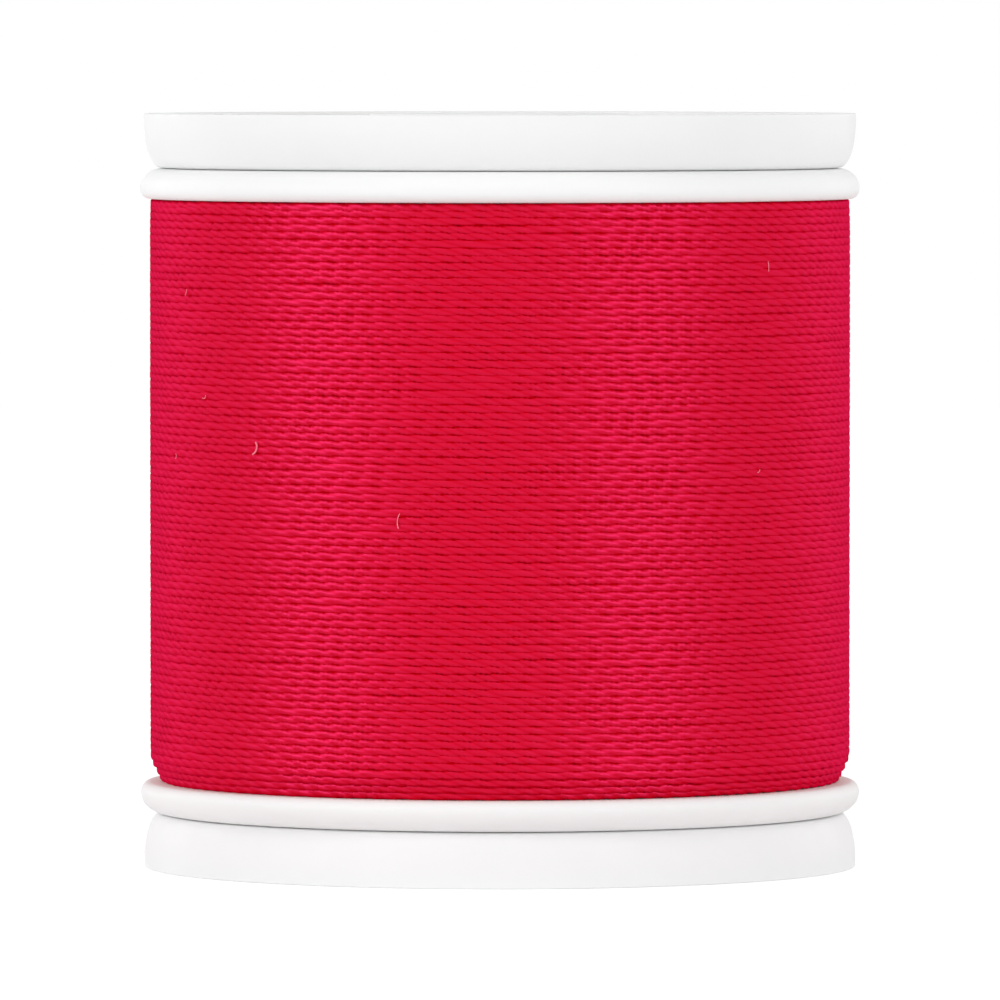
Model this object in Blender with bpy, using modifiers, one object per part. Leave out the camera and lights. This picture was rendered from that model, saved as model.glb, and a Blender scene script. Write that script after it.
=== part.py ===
"""A snap spool of sewing thread, standing on its lower cap. Metres, +Z up, origin under the spool's middle.

The spool body is a hollow barrel between two flanges. A cap closes each end: its slotted collar is held behind
a bead in the barrel, and it slides out a little, so that the nip between cap and flange can hold a thread.
"""

from math import cos, floor, pi, radians, sin, tau

import bmesh
import bpy
import numpy
from mathutils import Matrix

MM = 0.001

# Spool body
FLANGE_RADIUS = 14.04 * MM
FLANGE_THICKNESS = 1.15 * MM
WINDING_SPAN = 22.9 * MM        # clear length between the flanges
WINDING_INSET = 0.37 * MM       # how far the thread's surface lies inside the flange's edge
WINDING_DEPTH = 2.8 * MM        # thickness of all the thread on the barrel
BARREL_WALL = 1.0 * MM
RIM_BACK_HEIGHT = 0.4 * MM      # part of the flange's thickness that rounds in to the thread
BEAD_SETBACK = 0.8 * MM         # from the counterbore's floor to the snap bead
BEAD_HEIGHT = 1.1 * MM
BEAD_DEPTH = 0.65 * MM

# Nip between a flange and its cap
NIP_GAP = 0.2 * MM
NIP_DEPTH = 0.8 * MM            # how far the flange's rounded edge draws in there
NIP_LAND = 0.9 * MM             # flat of the cap's rim that grips the thread's end

# Snap caps
CAP_INSET = 0.15 * MM           # how far the cap's side stands inside the flange's edge
CAP_RIM_HEIGHT = 1.9 * MM
CAP_SIDE_HEIGHT = 1.0 * MM      # upright part of the rim, before it rounds in to the nip
CAP_EDGE_RADIUS = 0.2 * MM
CAP_LAND_WIDTH = 1.3 * MM       # outer ring of the cap's face, which the spool stands on
CAP_PLATE_THICKNESS = 1.1 * MM
CAP_TRAVEL = 1.5 * MM
SPIGOT_DEPTH = 0.5 * MM
SPIGOT_WALL = 1.2 * MM
PIN_BORE_RADIUS = 3.5 * MM
PIN_BORE_CHAMFER = 0.3 * MM
BOSS_WALL = 1.0 * MM
BOSS_LAND_WIDTH = 1.6 * MM      # inner ring of the cap's face, round the bore
BOSS_LENGTH = 5.0 * MM
COLLAR_WALL = 0.9 * MM
BARB_HEIGHT = 1.4 * MM
BARB_LAND = 0.4 * MM            # upright part of the barb, before its lead-in
SLOT_COUNT = 6
SLOT_WIDTH = 1.2 * MM
SLOT_ROOT = 0.6 * MM            # length of the collar that the slots leave whole
RUNNING_CLEARANCE = 0.2 * MM
CUT_MARGIN = 0.1 * MM           # how far a slot's cutter runs past the collar

# End labels
LABEL_RECESS_DEPTH = 0.5 * MM
LABEL_THICKNESS = 0.15 * MM
LABEL_EDGE_GAP = 0.3 * MM
GLUE_FILM = 0.1 * MM

# Thread, its outer layer drawn stouter and with fewer turns than the real one
TUBE_DIAMETER = 0.44 * MM
TUBE_GAP = 0.42 * MM            # least gap from turn to turn
TUBE_END_BEND = 0.35 * MM       # radius on which each end turns to its flange
THREAD_CLEARANCE = 0.3 * MM     # from the thread to what it lies on
THREAD_ENDS_ANGLE = radians(90)

# Facets
SEGMENTS = 42
ARC_STEPS = 3
SMALL_ARC_STEPS = 2
LOOP_POINTS = 24
TUBE_SIDE_STEPS = 1
CREASE_ANGLE = radians(30)

# What follows from these sizes
nip_radius = FLANGE_RADIUS - NIP_DEPTH
cap_radius = FLANGE_RADIUS - CAP_INSET
winding_radius = FLANGE_RADIUS - WINDING_INSET
barrel_radius = winding_radius - WINDING_DEPTH
bore_radius = barrel_radius - BARREL_WALL
spigot_radius = nip_radius - NIP_LAND
collar_radius = bore_radius - BEAD_DEPTH - RUNNING_CLEARANCE
collar_inner_radius = collar_radius - COLLAR_WALL
barb_radius = bore_radius - RUNNING_CLEARANCE
face_land_radius = cap_radius - CAP_LAND_WIDTH
boss_land_radius = PIN_BORE_RADIUS + BOSS_LAND_WIDTH
tube_path_radius = winding_radius - TUBE_DIAMETER / 2
half_span = WINDING_SPAN / 2
half_body = half_span + FLANGE_THICKNESS
half_height = half_body + NIP_GAP + CAP_RIM_HEIGHT
plate_under = -LABEL_RECESS_DEPTH - CAP_PLATE_THICKNESS
bead_end = -CAP_RIM_HEIGHT - NIP_GAP - SPIGOT_DEPTH - BEAD_SETBACK - BEAD_HEIGHT
barb_shoulder = bead_end - CAP_TRAVEL - RUNNING_CLEARANCE
collar_end = barb_shoulder - BARB_HEIGHT


def material(name, color, roughness):
    """A non-metallic surface of one colour."""
    made = bpy.data.materials.new(name)
    made.use_nodes = True
    shader = made.node_tree.nodes["Principled BSDF"]
    shader.inputs["Base Color"].default_value = color
    shader.inputs["Roughness"].default_value = roughness
    shader.inputs["Metallic"].default_value = 0
    return made


def quarter(center, radii, start, steps=ARC_STEPS):
    """Points (radius, height) of a quarter ellipse that runs clockwise from the angle start."""
    angles = [start - pi / 2 * step / steps for step in range(steps + 1)]
    return [(center[0] + radii[0] * cos(angle), center[1] + radii[1] * sin(angle)) for angle in angles]


def ring_profile(inner, outer, top, bottom):
    """Profile of a plain ring."""
    return [(inner, top), (outer, top), (outer, bottom), (inner, bottom)]


def turned_mesh(name, profile, skin):
    """A solid turned about Z from a closed profile of (radius, height), which runs down its outer side."""
    outline = bpy.data.meshes.new(name)
    edges = [(index, (index + 1) % len(profile)) for index in range(len(profile))]
    outline.from_pydata([(radius, 0, height) for radius, height in profile], edges, [])
    lathe = bpy.data.objects.new(name, outline)
    bpy.context.scene.collection.objects.link(lathe)
    screw = lathe.modifiers.new("Turn", "SCREW")
    screw.steps = screw.render_steps = SEGMENTS
    screw.use_merge_vertices = False
    graph = bpy.context.evaluated_depsgraph_get()
    mesh = bpy.data.meshes.new_from_object(lathe.evaluated_get(graph))
    bpy.data.objects.remove(lathe)
    bpy.data.meshes.remove(outline)
    mesh.name = name
    mesh.shade_smooth()
    mesh.set_sharp_from_angle(angle=CREASE_ANGLE)
    mesh.materials.append(skin)
    return mesh


def body_mesh(skin):
    """Barrel, both flanges, their counterbores and the two snap beads, about the body's middle."""
    counterbore_radius = spigot_radius + RUNNING_CLEARANCE
    counterbore_floor = half_body - SPIGOT_DEPTH
    bead_middle = (bore_radius, counterbore_floor - BEAD_SETBACK - BEAD_HEIGHT / 2)
    bead_radii = (BEAD_DEPTH, BEAD_HEIGHT / 2)
    rim_height = half_span + RIM_BACK_HEIGHT
    bead = quarter(bead_middle, bead_radii, -pi / 2, SMALL_ARC_STEPS)
    bead += quarter(bead_middle, bead_radii, pi, SMALL_ARC_STEPS)[1:]
    mouth = [
        (bore_radius, counterbore_floor),
        (counterbore_radius, counterbore_floor),
        (counterbore_radius, half_body),
    ]
    rim = quarter((nip_radius, rim_height), (NIP_DEPTH, half_body - rim_height), pi / 2)
    rim += quarter((winding_radius, rim_height), (WINDING_INSET, RIM_BACK_HEIGHT), 0)[1:]
    upper_half = bead + mouth + rim + [(barrel_radius, half_span)]
    lower_half = [(radius, -height) for radius, height in reversed(upper_half)]
    return turned_mesh("spool_body", upper_half + lower_half, skin)


def cap_mesh(skin):
    """Rim, label recess, boss, spigot and barbed collar, below the cap's outer face."""
    spigot_inner_radius = spigot_radius - SPIGOT_WALL
    spigot_end = -CAP_RIM_HEIGHT - SPIGOT_DEPTH
    boss_radius = PIN_BORE_RADIUS + BOSS_WALL
    edge_center = (cap_radius - CAP_EDGE_RADIUS, -CAP_EDGE_RADIUS)
    edge_radii = (CAP_EDGE_RADIUS, CAP_EDGE_RADIUS)
    nip_radii = (cap_radius - nip_radius, CAP_RIM_HEIGHT - CAP_SIDE_HEIGHT)
    face = [
        (PIN_BORE_RADIUS, -PIN_BORE_CHAMFER),
        (PIN_BORE_RADIUS + PIN_BORE_CHAMFER, 0),
        (boss_land_radius, 0),
        (boss_land_radius, -LABEL_RECESS_DEPTH),
        (face_land_radius, -LABEL_RECESS_DEPTH),
        (face_land_radius, 0),
    ]
    rim = quarter(edge_center, edge_radii, pi / 2, SMALL_ARC_STEPS)
    rim += quarter((nip_radius, -CAP_SIDE_HEIGHT), nip_radii, 0)
    spigot = [
        (spigot_radius, -CAP_RIM_HEIGHT),
        (spigot_radius, spigot_end),
        (spigot_inner_radius, spigot_end),
        (spigot_inner_radius, plate_under),
    ]
    collar = [
        (collar_radius, plate_under),
        (collar_radius, barb_shoulder),
        (barb_radius, barb_shoulder),
        (barb_radius, barb_shoulder - BARB_LAND),
        (collar_radius, collar_end),
        (collar_inner_radius, collar_end),
        (collar_inner_radius, plate_under),
    ]
    boss = [
        (boss_radius, plate_under),
        (boss_radius, -BOSS_LENGTH),
        (PIN_BORE_RADIUS, -BOSS_LENGTH),
    ]
    return turned_mesh("snap_cap", face + rim + spigot + collar + boss, skin)


def slots_mesh():
    """Boxes that part the cap's collar into fingers."""
    inner = collar_inner_radius - CUT_MARGIN
    outer = barb_radius + CUT_MARGIN
    top = plate_under - SLOT_ROOT
    bottom = collar_end - CUT_MARGIN
    form = bmesh.new()
    for slot in range(SLOT_COUNT):
        box = bmesh.ops.create_cube(form, size=1)["verts"]
        bmesh.ops.scale(form, verts=box, vec=(outer - inner, SLOT_WIDTH, top - bottom))
        bmesh.ops.translate(form, verts=box, vec=((outer + inner) / 2, 0, (top + bottom) / 2))
        turn = Matrix.Rotation(tau * slot / SLOT_COUNT, 3, "Z")
        bmesh.ops.rotate(form, verts=box, cent=(0, 0, 0), matrix=turn)
    mesh = bpy.data.meshes.new("collar_slots")
    form.to_mesh(mesh)
    form.free()
    return mesh


def label_mesh(skin):
    """A paper ring in the cap's recess, standing on its underside."""
    inner = boss_land_radius + LABEL_EDGE_GAP
    outer = face_land_radius - LABEL_EDGE_GAP
    return turned_mesh("end_label", ring_profile(inner, outer, LABEL_THICKNESS, 0), skin)


def inner_layers_mesh(skin):
    """The thread below the outer layer, which stays clear of that layer's straight facets."""
    outer = tube_path_radius * cos(pi / LOOP_POINTS) - TUBE_DIAMETER / 2 - THREAD_CLEARANCE
    reach = half_span - THREAD_CLEARANCE
    profile = ring_profile(barrel_radius + THREAD_CLEARANCE, outer, reach, -reach)
    return turned_mesh("thread_inner_layers", profile, skin)


def outer_layer_path():
    """Points of the left-handed outer layer, down from the upper flange, with each end square to its flange.

    They are first laid out flat, as a distance round the spool and a height, and then wrapped round it.
    """
    reach = half_span - THREAD_CLEARANCE
    bend_start = reach - TUBE_DIAMETER
    turns_start = bend_start - TUBE_END_BEND
    turns = floor(2 * turns_start / (TUBE_DIAMETER + TUBE_GAP))
    steps = turns * LOOP_POINTS
    length = turns * tau * tube_path_radius
    whole_length = length + 2 * TUBE_END_BEND
    bend = [pi / 2 * step / ARC_STEPS for step in range(ARC_STEPS + 1)]
    upper_end = [(0, reach)]
    upper_end += [
        (TUBE_END_BEND * (1 - cos(angle)), bend_start - TUBE_END_BEND * sin(angle)) for angle in bend
    ]
    lower_end = [(whole_length - along, -height) for along, height in reversed(upper_end)]
    shares = [step / steps for step in range(1, steps)]
    winding = [(TUBE_END_BEND + length * share, turns_start * (1 - 2 * share)) for share in shares]
    path = []
    for along, height in upper_end + winding + lower_end:
        angle = THREAD_ENDS_ANGLE + along / tube_path_radius
        path.append((tube_path_radius * cos(angle), tube_path_radius * sin(angle), height))
    return path


def least_gap(path):
    """Least gap from the tube to itself, between points over half a turn apart along it."""
    points = numpy.array(path)
    strides = numpy.linalg.norm(numpy.diff(points, axis=0), axis=1)
    run = numpy.concatenate([[0], numpy.cumsum(strides)])
    distances = numpy.linalg.norm(points[:, None] - points[None], axis=2)
    apart = numpy.abs(run[:, None] - run[None]) > pi * tube_path_radius
    return distances[apart].min() - TUBE_DIAMETER


def outer_layer_curve(skin):
    """The outer layer of thread as one unbroken tube."""
    path = outer_layer_path()
    print(f"thread_outer_layer: least gap from turn to turn {least_gap(path) / MM:.3f} mm")
    curve = bpy.data.curves.new("thread_outer_layer", "CURVE")
    curve.dimensions = "3D"
    curve.bevel_depth = TUBE_DIAMETER / 2
    curve.bevel_resolution = TUBE_SIDE_STEPS
    curve.use_fill_caps = True
    spline = curve.splines.new("POLY")
    spline.points.add(len(path) - 1)
    for point, position in zip(spline.points, path):
        point.co = (*position, 1)
    curve.materials.append(skin)
    return curve


def place(name, data, collection, parent, height=0):
    """Adds an object on the spool's axis, at a height in its parent's frame."""
    obj = bpy.data.objects.new(name, data)
    collection.objects.link(obj)
    obj.parent = parent
    obj.location.z = height
    return obj


def cut_slots(cap, slots, cutters):
    """Cuts the collar's slots in a cap."""
    cutter = place(f"{cap.name}_slots", slots, cutters, cap)
    cutter.hide_render = True
    cutter.display_type = "WIRE"
    boolean = cap.modifiers.new("Slots", "BOOLEAN")
    boolean.operation = "DIFFERENCE"
    boolean.solver = "EXACT"
    boolean.object = cutter


def build():
    """The whole spool, standing on its lower cap."""
    for obj in list(bpy.data.objects):
        bpy.data.objects.remove(obj)
    parts = bpy.data.collections.new("Spool of thread")
    cutters = bpy.data.collections.new("Cutters")
    bpy.context.scene.collection.children.link(parts)
    bpy.context.scene.collection.children.link(cutters)

    body_plastic = material("body_plastic", (0.87, 0.87, 0.88, 1), 0.35)
    cap_plastic = material("cap_plastic", (0.82, 0.83, 0.84, 1), 0.3)
    label_paper = material("label_paper", (0.88, 0.87, 0.84, 1), 0.85)
    thread = material("thread", (0.62, 0.004, 0.03, 1), 0.6)
    inner_thread = material("inner_thread", (0.5, 0.003, 0.022, 1), 0.7)

    spool = place("spool_of_thread", None, parts, None, half_height)
    place("spool_body", body_mesh(body_plastic), parts, spool)
    place("thread_inner_layers", inner_layers_mesh(inner_thread), parts, spool)
    place("thread_outer_layer", outer_layer_curve(thread), parts, spool)

    cap_data = cap_mesh(cap_plastic)
    slots = slots_mesh()
    label_data = label_mesh(label_paper)
    for end, side, tilt in (("upper", 1, 0), ("lower", -1, pi)):
        cap = place(f"{end}_snap_cap", cap_data, parts, spool, side * half_height)
        cap.rotation_euler.x = tilt
        cut_slots(cap, slots, cutters)
        place(f"{end}_end_label", label_data, parts, cap, GLUE_FILM - LABEL_RECESS_DEPTH)


build()
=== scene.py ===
"""Looks of a snap spool of sewing thread. Metres, +Z up, the spool standing on z = 0 about the Z axis."""

from math import cos, pi, radians, sin, tanh, tau

import bmesh
import bpy
from mathutils import Matrix, Vector


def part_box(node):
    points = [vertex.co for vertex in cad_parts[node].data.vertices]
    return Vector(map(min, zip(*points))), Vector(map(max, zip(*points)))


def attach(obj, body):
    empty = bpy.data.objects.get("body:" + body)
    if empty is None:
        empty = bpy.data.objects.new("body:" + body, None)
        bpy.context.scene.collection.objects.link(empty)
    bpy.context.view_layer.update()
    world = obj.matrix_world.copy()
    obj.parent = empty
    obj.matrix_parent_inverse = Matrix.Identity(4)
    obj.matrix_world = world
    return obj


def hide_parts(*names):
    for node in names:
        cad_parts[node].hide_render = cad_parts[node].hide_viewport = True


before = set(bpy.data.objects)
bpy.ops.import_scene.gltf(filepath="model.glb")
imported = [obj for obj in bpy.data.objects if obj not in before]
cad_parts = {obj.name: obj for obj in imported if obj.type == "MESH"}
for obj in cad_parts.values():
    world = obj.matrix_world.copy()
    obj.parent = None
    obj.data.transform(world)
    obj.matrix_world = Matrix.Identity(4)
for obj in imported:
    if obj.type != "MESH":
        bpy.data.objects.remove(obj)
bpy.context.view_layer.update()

MM = 0.001


# --------------------------------------------------------------------------------------------------
# Spool body
# One moulding in satin white polystyrene: a hollow barrel with a flange at each end. Each flange has a
# shallow counterbore for its cap, and a snap bead stands inside each mouth of the barrel. The flange's
# edge is rounded on both sides, so that thread slides over it without catching.

FLANGE_THICKNESS = 1.23 * MM
WINDING_INSET = 0.37 * MM       # how far the thread's surface lies inside the flange's edge
WINDING_DEPTH = 2.8 * MM
BARREL_WALL = 1.0 * MM
RIM_BACK_HEIGHT = 0.4 * MM      # height of the edge's rounding on the thread's side
NIP_DEPTH = 0.8 * MM            # how far its rounding on the cap's side draws in
NIP_LAND = 0.9 * MM             # flat of the flange, from there in to the cap's spigot
NIP_STEP = 0.05 * MM            # how far that flat stays below the solid's end, so that the cap clears it
SPIGOT_DEPTH = 0.5 * MM
BEAD_SETBACK = 0.8 * MM
BEAD_HEIGHT = 1.1 * MM
BEAD_DEPTH = 0.65 * MM
RUNNING_CLEARANCE = 0.2 * MM
MOUTH_FILLET = 0.08 * MM
BARREL_FILLET = 0.3 * MM
LATHE_STEPS = 192
ARC_STEPS = 14
FILLET_STEPS = 4
CREASE_ANGLE = radians(40)

BODY_PALE = (0.895, 0.895, 0.895, 1)
BODY_DEEP = (0.875, 0.876, 0.878, 1)
BODY_ROUGHNESS = (0.52, 0.62)   # from its glossiest spots to its dullest
PLASTIC_IOR = 1.52
PLASTIC_SHEEN = 0.15
PLASTIC_SHEEN_ROUGHNESS = 0.3
CLOUD_SCALE = 180               # this and the next scales are a noise's grains to the metre
PEEL_SCALE = 1400
PEEL_BUMP = 0.008 * MM
GRAIN_SCALE = 9000
GRAIN_BUMP = 0.0025 * MM
NOISE_RANGE = (0.3, 0.7)        # most of a noise lies between these

body_low, body_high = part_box("spool_body")
flange_radius = body_high.x
middle = (body_low.z + body_high.z) / 2
half_body = (body_high.z - body_low.z) / 2
half_span = half_body - FLANGE_THICKNESS
winding_radius = flange_radius - WINDING_INSET
barrel_radius = winding_radius - WINDING_DEPTH
bore_radius = barrel_radius - BARREL_WALL
nip_radius = flange_radius - NIP_DEPTH
spigot_radius = nip_radius - NIP_LAND


def quarter(center, radii, start):
    """Points (radius, height) of a quarter ellipse that runs clockwise from the angle start."""
    angles = [start - pi / 2 * step / ARC_STEPS for step in range(ARC_STEPS + 1)]
    return [(center[0] + radii[0] * cos(angle), center[1] + radii[1] * sin(angle)) for angle in angles]


def rounded(profile):
    """A closed profile of (radius, height) points, with a fillet at each that names one as a third value."""
    points = []
    for index, (radius, height, *fillet) in enumerate(profile):
        corner = Vector((radius, height))
        if not fillet:
            points.append(corner)
            continue
        ends = []
        for other in (profile[index - 1], profile[(index + 1) % len(profile)]):
            ends.append(corner + (Vector(other[:2]) - corner).normalized() * fillet[0])
        for step in range(FILLET_STEPS + 1):
            share = step / FILLET_STEPS
            points.append(ends[0].lerp(corner, share).lerp(corner.lerp(ends[1], share), share))
    return points


def placed(name, data):
    """A new object in the scene, with that mesh, curve, lamp or camera."""
    made = bpy.data.objects.new(name, data)
    bpy.context.scene.collection.objects.link(made)
    return made


def evaluated_mesh(piece):
    """A plain mesh of the piece's shape, with its modifiers' work."""
    graph = bpy.context.evaluated_depsgraph_get()
    return bpy.data.meshes.new_from_object(piece.evaluated_get(graph))


def apply_modifiers(piece):
    """Makes the piece's evaluated shape its mesh."""
    mesh = evaluated_mesh(piece)
    piece.modifiers.clear()
    piece.data = mesh
    mesh.name = piece.name


def turned(name, profile):
    """A solid turned about Z from a closed profile, which runs down its outer side."""
    outline = bpy.data.meshes.new(name)
    edges = [(index, (index + 1) % len(profile)) for index in range(len(profile))]
    outline.from_pydata([(radius, 0, height) for radius, height in profile], edges, [])
    piece = placed(name, outline)
    screw = piece.modifiers.new("Turn", "SCREW")
    screw.steps = screw.render_steps = LATHE_STEPS
    screw.use_merge_vertices = False
    apply_modifiers(piece)
    return piece


def shade(piece, skin):
    """Smooth shading that keeps the flats flat and the creases sharp, and the piece's one material."""
    piece.data.shade_smooth()
    piece.data.set_sharp_from_angle(angle=CREASE_ANGLE)
    piece.data.materials.clear()
    piece.data.materials.append(skin)
    piece.modifiers.new("Flats", "WEIGHTED_NORMAL").keep_sharp = True


def fill_inputs(tree, node, sockets):
    """Gives inputs of a node, by name or number, their values, or the sockets that they link from."""
    for key, value in sockets.items():
        if isinstance(value, bpy.types.NodeSocket):
            tree.links.new(value, node.inputs[key])
        else:
            node.inputs[key].default_value = value


def add_node(tree, kind, sockets=None, **settings):
    """A new node with its settings, and with its inputs filled."""
    made = tree.nodes.new(kind)
    for name, value in settings.items():
        setattr(made, name, value)
    fill_inputs(tree, made, sockets or {})
    return made


def noise(tree, place, scale, detail=2.0, roughness=0.5):
    """Height of a noise whose grains are 1 / scale of the place's units apart."""
    sockets = {"Vector": place, "Scale": scale, "Detail": detail, "Roughness": roughness}
    return add_node(tree, "ShaderNodeTexNoise", sockets).outputs["Fac"]


def ranged(tree, value, ends, results, **settings):
    """Runs from the first to the second result while the value runs between its two ends."""
    sockets = {
        "Value": value,
        "From Min": ends[0],
        "From Max": ends[1],
        "To Min": results[0],
        "To Max": results[1],
    }
    return add_node(tree, "ShaderNodeMapRange", sockets, **settings).outputs["Result"]


def spread(tree, height, low, high):
    """The middle part of a noise, stretched to run from low to high."""
    return ranged(tree, height, NOISE_RANGE, (low, high))


def blended(tree, share, first, second):
    """The colour between two colours at a share."""
    sockets = {"Factor": share, 6: first, 7: second}
    return add_node(tree, "ShaderNodeMix", sockets, data_type="RGBA").outputs[2]


def bumped(tree, heights):
    """A normal roughened by several (height, distance) pairs, one over the other."""
    normal = None
    for height, distance in heights:
        bump = add_node(tree, "ShaderNodeBump", {"Height": height, "Distance": distance, "Strength": 1.0})
        if normal:
            tree.links.new(normal, bump.inputs["Normal"])
        normal = bump.outputs["Normal"]
    return normal


def blank_skin(name):
    """A new material, its node tree, its main shader, and the place on the object to lay a pattern by."""
    skin = bpy.data.materials.new(name)
    skin.use_nodes = True
    tree = skin.node_tree
    place = add_node(tree, "ShaderNodeTexCoord").outputs["Object"]
    return skin, tree, tree.nodes["Principled BSDF"], place


def moulded_plastic(name, pale, deep, roughness):
    """Satin moulded polystyrene: flow clouds in its colour, a faint orange peel and a fine grain."""
    skin, tree, shader, place = blank_skin(name)
    clouds = noise(tree, place, CLOUD_SCALE, detail=4.0)
    peel = noise(tree, place, PEEL_SCALE)
    grain = noise(tree, place, GRAIN_SCALE, detail=3.0, roughness=0.6)
    sockets = {
        "Base Color": blended(tree, spread(tree, clouds, 0, 1), pale, deep),
        "Roughness": spread(tree, peel, *roughness),
        "IOR": PLASTIC_IOR,
        "Sheen Weight": PLASTIC_SHEEN,
        "Sheen Roughness": PLASTIC_SHEEN_ROUGHNESS,
        "Normal": bumped(tree, ((peel, PEEL_BUMP), (grain, GRAIN_BUMP))),
    }
    fill_inputs(tree, shader, sockets)
    return skin


def body_profile():
    """Outline of the body about its middle: the upper half, and its mirror image below."""
    counterbore_radius = spigot_radius + RUNNING_CLEARANCE
    counterbore_floor = half_body - SPIGOT_DEPTH
    bead_middle = (bore_radius, counterbore_floor - BEAD_SETBACK - BEAD_HEIGHT / 2)
    bead_radii = (BEAD_DEPTH, BEAD_HEIGHT / 2)
    rim_height = half_span + RIM_BACK_HEIGHT
    edge_height = half_body - NIP_STEP
    upper = quarter(bead_middle, bead_radii, -pi / 2) + quarter(bead_middle, bead_radii, pi)[1:]
    upper += [
        (bore_radius, counterbore_floor, MOUTH_FILLET),
        (counterbore_radius, counterbore_floor, MOUTH_FILLET),
        (counterbore_radius, edge_height, MOUTH_FILLET),
    ]
    upper += quarter((nip_radius, rim_height), (NIP_DEPTH, edge_height - rim_height), pi / 2)
    upper += quarter((winding_radius, rim_height), (WINDING_INSET, RIM_BACK_HEIGHT), 0)[1:]
    upper.append((barrel_radius, half_span, BARREL_FILLET))
    lower = [(radius, -height, *fillet) for radius, height, *fillet in reversed(upper)]
    return rounded(upper + lower)


spool_body = turned("spool_moulding", body_profile())
spool_body.data.transform(Matrix.Translation((0, 0, middle)))
shade(spool_body, moulded_plastic("body_plastic", BODY_PALE, BODY_DEEP, BODY_ROUGHNESS))
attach(spool_body, "spool")
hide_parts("spool_body")


# --------------------------------------------------------------------------------------------------
# Snap caps
# Two like mouldings in the same plastic, with a rolled rim, a recess for the label and a boss round the
# bore for the machine's pin. A collar below the plate is slit into six fingers, whose barbs snap in behind
# the body's bead.

CAP_INSET = 0.15 * MM           # how far the cap's side stands inside the flange's edge
CAP_RIM_HEIGHT = 1.9 * MM
CAP_SIDE_HEIGHT = 0.35 * MM     # upright part of the rim, before it rounds in to the nip
CAP_EDGE_RADIUS = 0.05 * MM
CAP_SWELL = 0.215 * MM          # how far the rim swells towards the flange
NIP_MOUTH = 0.15 * MM           # how deep the thread's end slips in before the cap's land grips it
NIP_GRIP = 0.02 * MM            # how far the land stands out
CAP_LAND_WIDTH = 1.3 * MM
CAP_PLATE_THICKNESS = 1.1 * MM
CAP_TRAVEL = 1.5 * MM
NIP_GAP = 0.2 * MM
SPIGOT_WALL = 1.2 * MM
PIN_BORE_RADIUS = 3.5 * MM
PIN_BORE_CHAMFER = 0.3 * MM
BOSS_WALL = 1.0 * MM
BOSS_LAND_WIDTH = 1.6 * MM
BOSS_LENGTH = 5.0 * MM
COLLAR_WALL = 0.9 * MM
BARB_HEIGHT = 1.4 * MM
BARB_LAND = 0.4 * MM
SLOT_COUNT = 6
SLOT_WIDTH = 1.2 * MM
SLOT_ROOT = 0.6 * MM            # length of the collar that the slots leave whole
CUT_MARGIN = 0.1 * MM
LABEL_RECESS_DEPTH = 0.5 * MM
FACE_FILLET = 0.1 * MM
INNER_FILLET = 0.06 * MM

CAP_PALE = (0.88, 0.882, 0.885, 1)
CAP_DEEP = (0.86, 0.862, 0.865, 1)
CAP_ROUGHNESS = (0.5, 0.6)

cap_radius = flange_radius - CAP_INSET
collar_radius = bore_radius - BEAD_DEPTH - RUNNING_CLEARANCE
collar_inner_radius = collar_radius - COLLAR_WALL
barb_radius = bore_radius - RUNNING_CLEARANCE
face_land_radius = cap_radius - CAP_LAND_WIDTH
boss_land_radius = PIN_BORE_RADIUS + BOSS_LAND_WIDTH
plate_under = -LABEL_RECESS_DEPTH - CAP_PLATE_THICKNESS
bead_end = -CAP_RIM_HEIGHT - NIP_GAP - SPIGOT_DEPTH - BEAD_SETBACK - BEAD_HEIGHT
barb_shoulder = bead_end - CAP_TRAVEL - RUNNING_CLEARANCE
collar_end = barb_shoulder - BARB_HEIGHT


def cap_profile():
    """Outline of a cap below its outer face."""
    spigot_inner_radius = spigot_radius - SPIGOT_WALL
    spigot_end = -CAP_RIM_HEIGHT - SPIGOT_DEPTH
    boss_radius = PIN_BORE_RADIUS + BOSS_WALL
    edge_center = (cap_radius - CAP_EDGE_RADIUS, -CAP_EDGE_RADIUS)
    land = -CAP_RIM_HEIGHT - CAP_SWELL
    face = [
        (PIN_BORE_RADIUS, -PIN_BORE_CHAMFER, FACE_FILLET),
        (PIN_BORE_RADIUS + PIN_BORE_CHAMFER, 0, FACE_FILLET),
        (boss_land_radius, 0, FACE_FILLET),
        (boss_land_radius, -LABEL_RECESS_DEPTH, INNER_FILLET),
        (face_land_radius, -LABEL_RECESS_DEPTH, INNER_FILLET),
        (face_land_radius, 0, FACE_FILLET),
    ]
    rim = quarter(edge_center, (CAP_EDGE_RADIUS, CAP_EDGE_RADIUS), pi / 2)
    rim += quarter((nip_radius, -CAP_SIDE_HEIGHT), (cap_radius - nip_radius, -CAP_SIDE_HEIGHT - land), 0)
    spigot = [
        (nip_radius - NIP_MOUTH, land),
        (nip_radius - NIP_MOUTH, land - NIP_GRIP),
        (spigot_radius, land - NIP_GRIP, INNER_FILLET),
        (spigot_radius, spigot_end, INNER_FILLET),
        (spigot_inner_radius, spigot_end, INNER_FILLET),
        (spigot_inner_radius, plate_under, INNER_FILLET),
    ]
    collar = [
        (collar_radius, plate_under, INNER_FILLET),
        (collar_radius, barb_shoulder, INNER_FILLET),
        (barb_radius, barb_shoulder, INNER_FILLET),
        (barb_radius, barb_shoulder - BARB_LAND, INNER_FILLET),
        (collar_radius, collar_end, INNER_FILLET),
        (collar_inner_radius, collar_end, INNER_FILLET),
        (collar_inner_radius, plate_under, INNER_FILLET),
    ]
    boss = [
        (boss_radius, plate_under, INNER_FILLET),
        (boss_radius, -BOSS_LENGTH, FACE_FILLET),
        (PIN_BORE_RADIUS, -BOSS_LENGTH, FACE_FILLET),
    ]
    return rounded(face + rim + spigot + collar + boss)


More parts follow.
